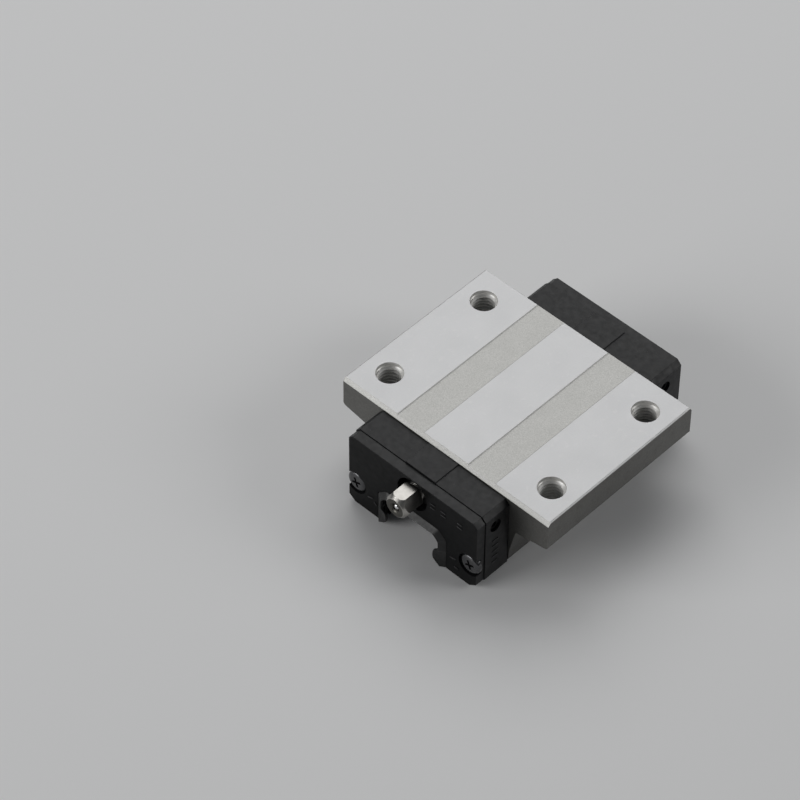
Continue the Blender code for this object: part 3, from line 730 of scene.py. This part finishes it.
def build_block():
    """Flanged steel block with eased edges, real threads, races, bores and screw holes."""
    body = prism(mirrored(block_outline()), BLOCK_LOW.y, BLOCK_HIGH.y)
    body = chamfer_ends(body)
    body = soften(body, 0.05 * MM, 2, longer_than=0.4 * MM,
                  where=lambda place: abs(place.y) > BLOCK_HIGH.y - MM or place.z < -0.5 * MM)
    length = BLOCK_HIGH.y - BLOCK_LOW.y
    tools = [tap(x, y) for x, y in HOLES]
    for side, sign in SIDES.items():
        for row in ROWS:
            bore_x, bore_z = load_and_return(side, row)[1]
            tools.append(cylinder((bore_x, 0, bore_z), (0, 1, 0), TUNNEL_RADIUS,
                                  length + 2 * MM, 32))
        for end_y in (BLOCK_LOW.y, BLOCK_HIGH.y):
            tools.append(cylinder((sign * SCREW_X, end_y, SCREW_Z), (0, 1, 0),
                                  SCREW_HOLE_RADIUS, 2 * SCREW_HOLE_DEPTH, 32))
    body = boolean(body, tools)
    piece("steel_block", body, BLOCK_COATS, ["carriage_block"],
          sort=lambda face: BLOCK_COATS.index(block_coat(face)))


# End caps and turn guides ----------------------------------------------------------------------

def tunnel(side, row, end):
    """U-shaped ball passage in a cap."""
    inner = -2.0 * MM
    path = [(-TURN_RADIUS, inner)] + arc((0, 0), TURN_RADIUS, 180, 0, 14) + [(TURN_RADIUS, inner)]
    around = 24
    work = bmesh.new()
    rings = []
    for i, point in enumerate(path):
        before = Vector(path[max(i - 1, 0)])
        after = Vector(path[min(i + 1, len(path) - 1)])
        along = (after - before).normalized()
        side_way = Vector((-along.y, along.x, 0))
        ring = []
        for k in range(around):
            angle = 2 * math.pi * k / around
            offset = side_way * math.cos(angle) + Vector((0, 0, 1)) * math.sin(angle)
            ring.append(work.verts.new(Vector((*point, 0)) + offset * TUNNEL_RADIUS))
        rings.append(ring)
    for first, second in zip(rings, rings[1:]):
        for k in range(around):
            n = (k + 1) % around
            work.faces.new((first[k], first[n], second[n], second[k]))
    work.faces.new(rings[0])
    work.faces.new(rings[-1])
    mesh = mesh_of(work)
    mesh.transform(turn_frame(side, row, end))
    return mesh


def cap_outline():
    """Right half of the cap's section: raised middle pad, corner chamfers and the rail opening."""
    return millimetres([(0, -0.95), (3.75, -0.95), (3.87, -1.2), (15.45, -1.2), (16.5, -2.25),
                        (16.5, -18.3), (15.0, -19.5), (7.8, -19.5), (7.8, -11.9), (6.6, -10.7),
                        (0, -10.7)])


def cap_mesh():
    """The front cap, with its passages and ports."""
    inner = -CAP_LOW.y + 0.06 * MM
    outer = -CAP_HIGH.y
    body = prism(mirrored(cap_outline()), outer, inner)
    body = soften(body, 0.06 * MM, 2, longer_than=0.2 * MM)
    middle = (inner + outer) / 2
    through = inner - outer + 2 * MM
    groove = millimetres([(-10.6, -8.2), (-10.6, -4.9), (10.6, -4.9), (10.6, -8.2), (9.4, -8.2),
                          (9.4, -6.1), (-9.4, -6.1), (-9.4, -8.2)])
    tools = [cylinder((0, middle, PORT_Z), (0, 1, 0), PORT_RADIUS, through),
             prism(groove, inner - 0.8 * MM, inner + 1.0 * MM)]
    for side, sign in SIDES.items():
        port = Vector((sign * SIDE_PORT[0], SIDE_PORT[1], SIDE_PORT[2]))
        tools.append(cylinder((sign * SCREW_X, middle, SCREW_Z), (0, 1, 0),
                              SCREW_HOLE_RADIUS, through, 32))
        tools.append(cylinder(port, (1, 0, 0), 1.4 * MM, 1.1 * MM))
        tools.append(cylinder(port, (1, 0, 0), 0.75 * MM, 3.0 * MM, 32))
        for row in ROWS:
            pocket = cylinder((0, 0, 0), (0, 0, 1), 1.8 * MM, 3.44 * MM)
            pocket.transform(turn_frame(side, row, "front"))
            tools += [pocket, tunnel(side, row, "front")]
    return boolean(body, tools)


def side_ribs():
    """Plain short ribs under the side port of the front cap, both sides."""
    ribs = []
    for sign in SIDES.values():
        for i in range(5):
            z = (-8.9 - 1.5 * i) * MM
            low = Vector((16.3 * MM, -24.4 * MM, z - 0.13 * MM))
            high = Vector((16.62 * MM, -22.8 * MM, z + 0.13 * MM))
            rib = soften(block_between(low, high), 0.07 * MM, 2, longer_than=0.1 * MM)
            ribs.append(placed(rib, Matrix.Diagonal((sign, 1, 1, 1))))
    return joined(ribs)


def guide_mesh():
    """Half spool on the inside of a turn, about local Z, with a round waist."""
    half_width = 1.62 * MM
    groove_half = 1.5 * MM
    steps = 14
    profile = [(-half_width, 0.0), (-half_width, 1.7 * MM)]
    for i in range(steps + 1):
        offset = groove_half * (2 * i / steps - 1)
        profile.append((offset, TURN_RADIUS - math.sqrt(TUNNEL_RADIUS ** 2 - offset ** 2)))
    profile += [(half_width, 1.7 * MM), (half_width, 0.0)]
    away = block_between((-4 * MM, -4 * MM, -4 * MM), (4 * MM, -0.32 * MM, 4 * MM))
    return boolean(turned(profile, 40), [away])


def build_caps():
    """Front and rear caps with their ribs and turn guides."""
    cap = cap_mesh()
    ribs = side_ribs()
    guide = guide_mesh()
    for end, sign in ENDS.items():
        spin = Matrix.Rotation(math.pi if sign > 0 else 0.0, 4, "Z")
        piece(f"{end}_cap_shell", placed(cap, spin), CAP_PLASTIC, [f"{end}_end_cap"])
        piece(f"{end}_cap_ribs", placed(ribs, spin), MARK_PLASTIC)
        for side in SIDES:
            for row in ROWS:
                piece(f"{end}_{side}_{row}_half_spool",
                      placed(guide, turn_frame(side, row, end)), GUIDE_PLASTIC,
                      [f"{end}_{side}_{row}_turn_guide"])


# Seals -----------------------------------------------------------------------------------------

def seal_mesh():
    """The front seal plate."""
    outline = mirrored(millimetres([(0, -1.4), (15.25, -1.4), (16.3, -2.4), (16.3, -18.2),
                                    (14.7, -19.4), (8.75, -19.4), (8.75, -12.0), (6.75, -10.2),
                                    (0, -10.2)]))
    outer = -SEAL_HIGH.y
    inner = -CAP_HIGH.y - 0.03 * MM
    body = soften(prism(outline, outer, inner), 0.12 * MM, 3, longer_than=0.5 * MM,
                  where=lambda place: place.y < outer + 0.1 * MM)
    body = soften(body, 0.04 * MM, 2, longer_than=0.5 * MM,
                  where=lambda place: place.y > inner - 0.1 * MM)
    middle = (outer + inner) / 2
    port = turned_y([(outer - 1 * MM, 0), (outer - 1 * MM, SEAL_PORT_RADIUS + 0.08 * MM),
                     (outer + 0.1 * MM, SEAL_PORT_RADIUS), (inner + 1 * MM, SEAL_PORT_RADIUS),
                     (inner + 1 * MM, 0)], 64)
    port.transform(Matrix.Translation((0, 0, PORT_Z)))
    tools = [port]
    for sign in SIDES.values():
        centre = Vector((sign * SCREW_X, middle, SCREW_Z))
        tools.append(cylinder(centre, (0, 1, 0), SCREW_HOLE_RADIUS, 4 * MM, 32))
        tools.append(cylinder((centre.x, SCREW_POCKET_FLOOR_Y - 2 * MM, centre.z), (0, 1, 0),
                              SCREW_POCKET_RADIUS, 4 * MM, 64))
    return boolean(body, tools)


def lip_mesh():
    """The front lip, lofted from the plate's opening to the rail's section."""
    outer = millimetres([(-0.01, -10.24), (6.72, -10.24), (8.7, -12.02), (8.7, -14.8), (8.7, -15.5),
                         (8.7, -16.7), (8.7, -17.4), (8.7, -19.3)])
    inner = millimetres([(-0.01, -11.35), (6.1, -11.35), (7.3, -12.55), (7.3, -14.8), (6.1, -15.5),
                         (5.9, -17.1), (6.1, -17.9), (7.8, -19.0)])
    face_y = -SEAL_HIGH.y
    tip_y = -LIP_HIGH.y
    root_y = -SEAL_LOW.y - 0.3 * MM
    round_outer = rounded(outer, 0.5 * MM, 4, closed=False)
    round_inner = rounded(inner, 0.5 * MM, 4, closed=False)

    def between(share):
        return [tuple(Vector(a).lerp(Vector(b), share)) for a, b in zip(round_outer, round_inner)]

    rings = [(between(0.0), root_y), (between(0.0), face_y + 0.06 * MM), (between(0.07), face_y),
             (between(0.9), tip_y + 0.06 * MM), (between(0.97), tip_y),
             (between(1.0), tip_y + 0.1 * MM), (between(1.0), tip_y + 0.45 * MM),
             (between(0.85), tip_y + 0.75 * MM), (between(0.3), root_y)]
    work = bmesh.new()
    grid = []
    for half, y in rings:
        whole = half[:0:-1] + [(-x, z) for x, z in half[1:]]
        grid.append([work.verts.new((x, y, z)) for x, z in whole])
    for ring, following in zip(grid, grid[1:] + grid[:1]):
        for i in range(len(ring) - 1):
            work.faces.new((ring[i], ring[i + 1], following[i + 1], following[i]))
    work.faces.new([ring[0] for ring in grid])
    work.faces.new([ring[-1] for ring in grid])
    return mesh_of(work)


def bar_between(start, end, width, height, y_face):
    """A short raised bar on the front face of the seal, from one (x, z) point to another."""
    first = Vector((start[0], 0, start[1])) * MM
    last = Vector((end[0], 0, end[1])) * MM
    along = last - first
    bar = block_between((-along.length / 2, -height, -width / 2),
                        (along.length / 2, 0.1 * MM, width / 2))
    bar = soften(bar, min(width, height) * 0.3, 2, longer_than=0.01 * MM)
    turn = Matrix.Rotation(-math.atan2(along.z, along.x), 4, "Y")
    bar.transform(Matrix.Translation((first + last) / 2 + Vector((0, y_face, 0))) @ turn)
    return bar


def mark_mesh():
    """Plain moulded marks on the front seal: short bars."""
    face = -SEAL_HIGH.y
    lines = [((-11.3, -15.1), (-10.0, -14.7)), ((-9.6, -15.4), (-9.0, -16.0)),
             ((9.8, -15.1), (11.3, -14.8)), ((10.9, -17.0), (11.9, -17.1))]
    for x in (5.2, 7.9, 12.0):
        lines += [((x - 0.6, z), (x + 0.6, z)) for z in (-4.2, -5.2)]
    return joined([bar_between(a, b, 0.24 * MM, 0.14 * MM, face) for a, b in lines])


def build_seals():
    """End seal plates, lips, marks and the strips under the legs."""
    plate = seal_mesh()
    lip = lip_mesh()
    for end, sign in ENDS.items():
        spin = Matrix.Rotation(math.pi if sign > 0 else 0.0, 4, "Z")
        # Faces square to Y take the painted-shade copy of the seal plastic.
        piece(f"{end}_seal_plate", placed(plate, spin), [SEAL_EDGE, SHADED_SEAL_FACE],
              [f"{end}_end_seal"], sort=lambda face: 1 if abs(face.normal.y) > 0.95 else 0)
        piece(f"{end}_rubber_lip", placed(lip, spin), LIP_RUBBER, [f"{end}_seal_lip"])
        piece(f"{end}_seal_marks", placed(mark_mesh(), spin), MARK_PLASTIC)
    strip = rounded(millimetres([(7.7, -18.95), (8.25, -18.15), (15.6, -18.15), (15.6, -18.75),
                                 (8.7, -18.75)]), 0.12 * MM, 3)
    bar = rounded(millimetres([(7.75, -13.75), (8.95, -13.75), (8.95, -14.2), (7.75, -14.2)]),
                  0.12 * MM, 3)
    for side, sign in SIDES.items():
        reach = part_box(f"{side}_bottom_seal")[1].y
        strip_mesh = prism([(sign * x, z) for x, z in strip], -reach, reach)
        piece(f"{side}_leg_strip", soften(strip_mesh, 0.05 * MM, 2), LIP_RUBBER,
              [f"{side}_bottom_seal"])
        bar_mesh = prism([(sign * x, z) for x, z in bar], -reach, reach)
        piece(f"{side}_retainer_bar", soften(bar_mesh, 0.05 * MM, 2), GUIDE_PLASTIC,
              [f"{side}_ball_retainer"])


# Balls -----------------------------------------------------------------------------------------

def ball_group(centres):
    """Separate smooth balls in one mesh."""
    work = bmesh.new()
    for centre in centres:
        bmesh.ops.create_uvsphere(work, u_segments=24, v_segments=14, radius=BALL_RADIUS,
                                  matrix=Matrix.Translation(centre))
    return mesh_of(work)


def build_balls():
    """Every circuit: a loaded row, a return row and the balls in its two turns."""
    for side in SIDES:
        for row in ROWS:
            name = f"{side}_{row}"
            for kind in ("load", "return"):
                node = f"{name}_{kind}_balls"
                low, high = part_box(node)
                pitch = (high.y - low.y - 2 * BALL_RADIUS) / (BALLS_PER_STRAIGHT - 1)
                middle = (low + high) / 2
                centres = [middle + Vector((0, (i - (BALLS_PER_STRAIGHT - 1) / 2) * pitch, 0))
                           for i in range(BALLS_PER_STRAIGHT)]
                piece(f"{name}_{kind}_spheres", ball_group(centres), BALL_STEEL, [node],
                      body=f"{name}_{kind}_row")
            for end in ENDS:
                place = turn_frame(side, row, end)
                centres = [place @ Vector((TURN_RADIUS * math.cos(a), TURN_RADIUS * math.sin(a), 0))
                           for a in (math.pi / 4, 3 * math.pi / 4)]
                piece(f"{name}_{end}_turn_spheres", ball_group(centres), BALL_STEEL,
                      [f"{name}_{end}_turn_balls"], body=f"{name}_{end}_turn")


# Screws, nipple and plug -----------------------------------------------------------------------

def cross_cutter(face_y, reach, half_width, depth, turn):
    """Tapered cross recess, wide at the head's face and narrow at the bottom."""
    work = bmesh.new()
    levels = []
    for y, scale in ((face_y - 0.4 * MM, 1.12), (face_y + depth, 0.45)):
        ring = []
        for quarter in range(4):
            angle = turn + quarter * math.pi / 2
            for x, z in ((half_width, reach), (-half_width, reach), (-half_width, half_width)):
                px = x * math.cos(angle) - z * math.sin(angle)
                pz = x * math.sin(angle) + z * math.cos(angle)
                ring.append(work.verts.new((px * scale, y, pz * scale)))
        levels.append(ring)
    first, second = levels
    for k in range(len(first)):
        n = (k + 1) % len(first)
        work.faces.new((first[k], first[n], second[n], second[k]))
    work.faces.new(first)
    work.faces.new(second)
    return mesh_of(work)


def screw_mesh():
    """Pan-head screw with a cross recess and a threaded shank, along Y, head at -Y."""
    face = -28.35 * MM
    under = -27.15 * MM
    head = SCREW_HEAD_RADIUS
    tip = -14.2 * MM
    thread = 0.45 * MM
    profile = [(face, 0.0), (face, 1.3 * MM)]
    profile += [(face + 0.55 * MM - 0.55 * MM * math.cos(a), 1.3 * MM + 1.0 * MM * math.sin(a))
                for a in [math.pi / 2 * i / 6 for i in range(1, 7)]]
    profile += [(under - 0.08 * MM, head), (under, head - 0.08 * MM), (under, 1.22 * MM),
                (-21.0 * MM, 1.22 * MM)]
    turns = int((tip + 21.0 * MM) / thread)
    for i in range(turns):
        y = -21.0 * MM + i * thread
        profile += [(y + thread * 0.5, 1.02 * MM), (y + thread, 1.24 * MM)]
    profile += [(tip, 0.8 * MM), (tip, 0.0)]
    body = turned_y(profile, 40)
    return boolean(body, [cross_cutter(face, 1.3 * MM, 0.3 * MM, 0.95 * MM, math.radians(20))])


def build_screws():
    """Four equal screws."""
    screw = screw_mesh()
    for end, end_sign in ENDS.items():
        spin = Matrix.Rotation(math.pi if end_sign > 0 else 0.0, 4, "Z")
        for side, sign in SIDES.items():
            place = Matrix.Translation((sign * SCREW_X, 0, SCREW_Z)) @ spin
            piece(f"{end}_{side}_screw", placed(screw, place), BLACK_OXIDE,
                  [f"{end}_{side}_cap_screw"])


def nipple_mesh():
    """Hexagonal nipple with a chamfered nose, a ball seat and a short threaded neck."""
    low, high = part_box("grease_nipple")
    tip = low.y
    across_flats = 5.0 * MM
    corner = across_flats / math.sqrt(3)
    hex_end = -28.2 * MM
    hexagon = [(corner * math.cos(i * math.pi / 3), corner * math.sin(i * math.pi / 3))
               for i in range(6)]
    body = prism(hexagon, tip, hex_end)
    dome = [(tip, 0.0), (tip, 2.05 * MM), (tip + 0.05 * MM, 2.14 * MM),
            (tip + 0.78 * MM, 2.72 * MM), (tip + 1.05 * MM, 2.84 * MM),
            (tip + 1.4 * MM, 2.95 * MM), (hex_end - 0.35 * MM, 2.95 * MM),
            (hex_end, 2.5 * MM), (hex_end, 0.0)]
    body = boolean(body, [turned_y(dome, 64)], "INTERSECT")
    neck = [(hex_end - 0.5 * MM, 0.0), (hex_end - 0.5 * MM, 1.9 * MM)]
    for i in range(int((high.y - hex_end) / PORT_THREAD_PITCH)):
        y = hex_end + i * PORT_THREAD_PITCH
        neck += [(y + PORT_THREAD_PITCH * 0.45, 1.6 * MM),
                 (y + PORT_THREAD_PITCH * 0.95, 1.95 * MM)]
    neck += [(high.y, 1.7 * MM), (high.y, 0.0)]
    body = boolean(body, [turned_y(neck, 48)], "UNION")
    ball_y = middle_of("nipple_ball").y
    bore = [(tip - MM, 0.0), (tip - MM, 1.4 * MM), (tip, 1.15 * MM), (tip + 0.2 * MM, 0.86 * MM),
            (ball_y - 0.35 * MM, 0.7 * MM), (ball_y + 0.1 * MM, 0.95 * MM),
            (-24.2 * MM, 0.95 * MM), (-24.2 * MM, 0.5 * MM), (high.y + MM, 0.5 * MM),
            (high.y + MM, 0.0)]
    body = boolean(body, [turned_y(bore, 48)])
    body.transform(Matrix.Translation((0, 0, PORT_Z)))
    return body


def spring_mesh():
    """Coil of round wire with closed ends."""
    low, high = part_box("nipple_spring")
    wire = 0.1 * MM
    coil = 0.6 * MM
    turns = 8
    steps = 20
    around = 8
    start = low.y + wire
    length = high.y - low.y - 2 * wire
    work = bmesh.new()
    rings = []
    for i in range(turns * steps + 1):
        share = i / (turns * steps)
        angle = 2 * math.pi * i / steps
        outwards = Vector((math.cos(angle), 0, math.sin(angle)))
        centre = Vector((0, start + length * share, PORT_Z)) + outwards * coil
        ring = []
        for k in range(around):
            turn = 2 * math.pi * k / around
            offset = outwards * math.cos(turn) + Vector((0, 1, 0)) * math.sin(turn)
            ring.append(work.verts.new(centre + offset * wire))
        rings.append(ring)
    for first, second in zip(rings, rings[1:]):
        for k in range(around):
            n = (k + 1) % around
            work.faces.new((first[k], first[n], second[n], second[k]))
    work.faces.new(rings[0])
    work.faces.new(rings[-1])
    return mesh_of(work)


def build_nipple():
    """Nipple body, its check ball and spring, and the plug in the rear port."""
    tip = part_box("grease_nipple")[0].y
    # The nose's end face and bore take the darker nickel: painted shade and painted dark
    # reflection.
    piece("nipple_body", nipple_mesh(), [NICKEL, NOSE_SHADE_NICKEL], ["grease_nipple"],
          sharp_deg=20, sort=lambda face: 1 if face.center.y < tip + 0.02 * MM or (
              math.hypot(face.center.x, face.center.z - PORT_Z) < 1.2 * MM) else 0)
    ball_low, ball_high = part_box("nipple_ball")
    radius = (ball_high.y - ball_low.y) / 2
    work = bmesh.new()
    bmesh.ops.create_uvsphere(work, u_segments=32, v_segments=20, radius=radius,
                              matrix=Matrix.Translation(middle_of("nipple_ball")))
    piece("check_ball", mesh_of(work), BALL_STEEL, ["nipple_ball"],
          body="nipple_check_ball")
    coil = piece("check_spring", spring_mesh(), SPRING_STEEL, ["nipple_spring"])
    low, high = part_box("nipple_spring")
    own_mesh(coil)

    low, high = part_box("rear_port_plug")
    profile = [(low.y, 0.0), (low.y, 1.6 * MM)]
    pitch = PORT_THREAD_PITCH
    for i in range(int((high.y - low.y) / pitch)):
        y = low.y + 0.1 * MM + i * pitch
        profile += [(y + 0.25 * pitch, 1.95 * MM), (y + 0.8 * pitch, 1.62 * MM)]
    profile += [(high.y - 0.2 * MM, 1.75 * MM), (high.y, 1.6 * MM), (high.y, 0.0)]
    socket = [(1.2 * MM * math.cos(i * math.pi / 3), 1.2 * MM * math.sin(i * math.pi / 3))
              for i in range(6)]
    plug = boolean(turned_y(profile, 48), [prism(socket, high.y - 1.8 * MM, high.y + MM)])
    plug.transform(Matrix.Translation((0, 0, PORT_Z)))
    piece("rear_set_screw", plug, BLACK_OXIDE, ["rear_port_plug"])


# Stage -----------------------------------------------------------------------------------------

def build_camera():
    """The camera, at the photograph's viewing angle."""
    back = Vector((math.sin(CAMERA_AZIMUTH) * math.cos(CAMERA_ELEVATION),
                   -math.cos(CAMERA_AZIMUTH) * math.cos(CAMERA_ELEVATION),
                   math.sin(CAMERA_ELEVATION)))
    right = Vector((0, 0, 1)).cross(back).normalized()
    up = back.cross(right)
    turned_right = right * math.cos(CAMERA_ROLL) + up * math.sin(CAMERA_ROLL)
    turned_up = up * math.cos(CAMERA_ROLL) - right * math.sin(CAMERA_ROLL)
    data = bpy.data.cameras.new("camera")
    data.lens = LENS_MM
    data.sensor_width = SENSOR_MM
    data.clip_start = 0.01
    camera = bpy.data.objects.new("camera", data)
    axes = Matrix((turned_right, turned_up, back)).transposed().to_4x4()
    camera.matrix_world = Matrix.Translation(CAMERA_TARGET + back * CAMERA_DISTANCE) @ axes
    bpy.context.scene.collection.objects.link(camera)
    bpy.context.scene.camera = camera


def soft_light(name, place, size, watts):
    """A square soft light aimed at the carriage."""
    data = bpy.data.lights.new(name, "AREA")
    data.shape = "SQUARE"
    data.size = size
    data.energy = watts
    lamp = bpy.data.objects.new(name, data)
    lamp.location = place
    lamp.rotation_euler = (-Vector(place)).to_track_quat("-Z", "Y").to_euler()
    bpy.context.scene.collection.objects.link(lamp)


def build_stage():
    """Pale floor, soft studio light and a grey surround."""
    mesh = bpy.data.meshes.new("floor")
    corners = [(x * FLOOR_HALF, y * FLOOR_HALF, FLOOR_Z)
               for x, y in ((-1, -1), (1, -1), (1, 1), (-1, 1))]
    mesh.from_pydata(corners, [], [(0, 1, 2, 3)])
    coat = Coat("pale_floor", (0.80, 0.80, 0.80), 0.0, 0.6)
    mesh.materials.append(coat.material)
    floor = bpy.data.objects.new("floor", mesh)
    bpy.context.scene.collection.objects.link(floor)
    world = bpy.data.worlds.new("surround")
    world.use_nodes = True
    background = world.node_tree.nodes["Background"]
    background.inputs["Color"].default_value = (0.9, 0.95, 1.0, 1.0)
    background.inputs["Strength"].default_value = 0.07
    bpy.context.scene.world = world
    soft_light("back_left_softbox", (-0.48, 0.50, 0.77), 0.9, 4.7)
    soft_light("back_right_softbox", (0.88, 0.66, 0.62), 0.55, 3.4)
    soft_light("front_left_softbox", (-0.50, -0.88, 0.38), 0.65, 5.4)
    bpy.context.scene.view_settings.view_transform = "Standard"


build_camera()
build_stage()
build_block()
build_caps()
build_seals()
build_balls()
build_screws()
build_nipple()
